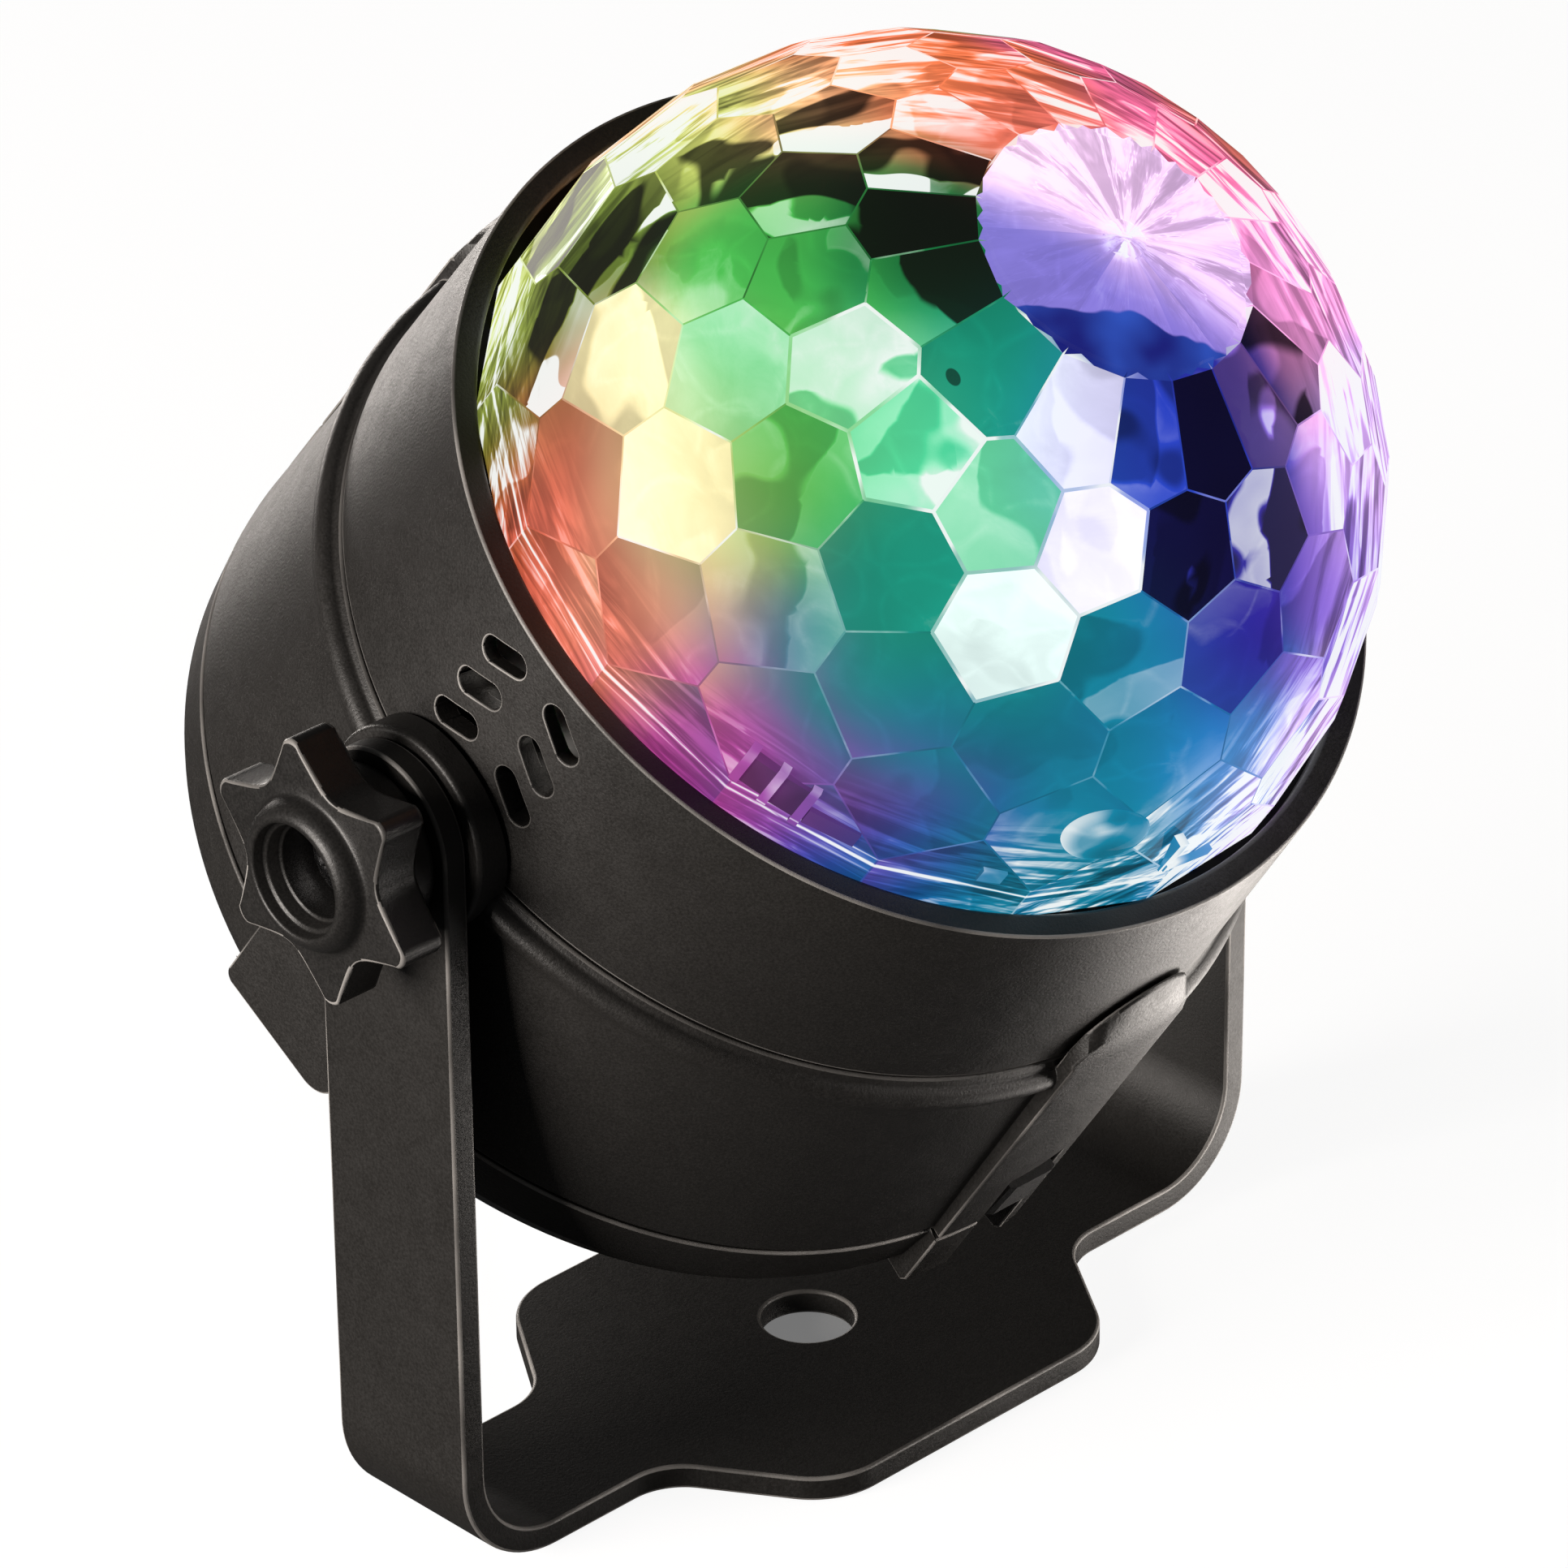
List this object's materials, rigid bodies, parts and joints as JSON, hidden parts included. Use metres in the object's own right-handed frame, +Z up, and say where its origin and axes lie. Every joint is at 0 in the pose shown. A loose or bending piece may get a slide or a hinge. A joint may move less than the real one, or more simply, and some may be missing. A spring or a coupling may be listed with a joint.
{
  "type": "led disco ball light",
  "caption": "Small party light: a clear faceted dome turns on a black round head that tilts in a U-shaped bracket with star knobs.",
  "frame": {"origin": "bottom centre of the whole object's box, on the surface that the base plate stands on", "axes": "+Z up, the light faces -Y, the bracket's arms stand at -X and +X"},
  "size_m": [0.119, 0.113, 0.1317],
  "materials": {
    "bracket_paint": "satin black powder coat on steel strap, fine grain",
    "black_plastic": "satin black moulded plastic, fine grain, slightly warm",
    "knob_plastic": "satin black moulded plastic",
    "clear_plastic": "clear moulded plastic with flat ground facets, polished",
    "dark_steel": "blackened steel",
    "steel": "plain zinc-plated steel",
    "gland_rubber": "matt black rubber",
    "board_white": "white solder mask",
    "board_green": "green solder mask",
    "led_red_lens": "clear red lens",
    "led_green_lens": "clear green lens",
    "led_blue_lens": "clear blue lens",
    "cover_plastic": "black moulded plastic, smooth",
    "ir_plastic": "black infrared-clear plastic",
    "gear_nylon": "off-white nylon"
  },
  "bodies": {
    "bracket": {"bracket": "bracket_paint"},
    "head": {"front_housing": "black_plastic", "rear_housing": "black_plastic", "rear_cover": "black_plastic", "rear_screw_1": "dark_steel", "rear_screw_2": "dark_steel", "rear_screw_3": "dark_steel", "rear_screw_4": "dark_steel", "pivot_boss_left": "black_plastic", "pivot_boss_right": "black_plastic", "pivot_nut_left": "steel", "pivot_nut_right": "steel", "cord_gland": "gland_rubber", "led_board": "board_white", "board_screw_1": "steel", "board_screw_2": "steel", "board_screw_3": "steel", "led_red": "led_red_lens", "led_green": "led_green_lens", "led_blue": "led_blue_lens", "led_cover": "cover_plastic", "ir_receiver": "ir_plastic", "motor_plate": "steel", "plate_screw_1": "steel", "plate_screw_2": "steel", "gearbox": "gear_nylon", "motor": "steel", "control_board": "board_green", "microphone": "steel"},
    "dome": {"crystal_dome": "clear_plastic", "dome_guide_ring": "clear_plastic", "dome_post": "clear_plastic", "drive_shaft": "steel"},
    "knob_left": {"knob_left": "knob_plastic", "knob_screw_left": "dark_steel"},
    "knob_right": {"knob_right": "knob_plastic", "knob_screw_right": "dark_steel"}
  },
  "joints": [
    {"name": "head_tilt", "type": "hinge", "parent": "bracket", "child": "head", "pos_m": [0, -0.0019, 0.0721], "axis": [1, 0, 0], "range_deg": [-126, 84]},
    {"name": "dome_spin", "type": "hinge", "parent": "head", "child": "dome", "pos_m": [0, -0.0165, 0.0919], "axis": [0, -0.5937, 0.8047], "continuous": true},
    {"name": "knob_left_turn", "type": "hinge", "parent": "bracket", "child": "knob_left", "pos_m": [-0.0498, -0.0019, 0.0721], "axis": [-1, 0, 0], "continuous": true},
    {"name": "knob_right_turn", "type": "hinge", "parent": "bracket", "child": "knob_right", "pos_m": [0.0498, -0.0019, 0.0721], "axis": [1, 0, 0], "continuous": true}
  ]
}
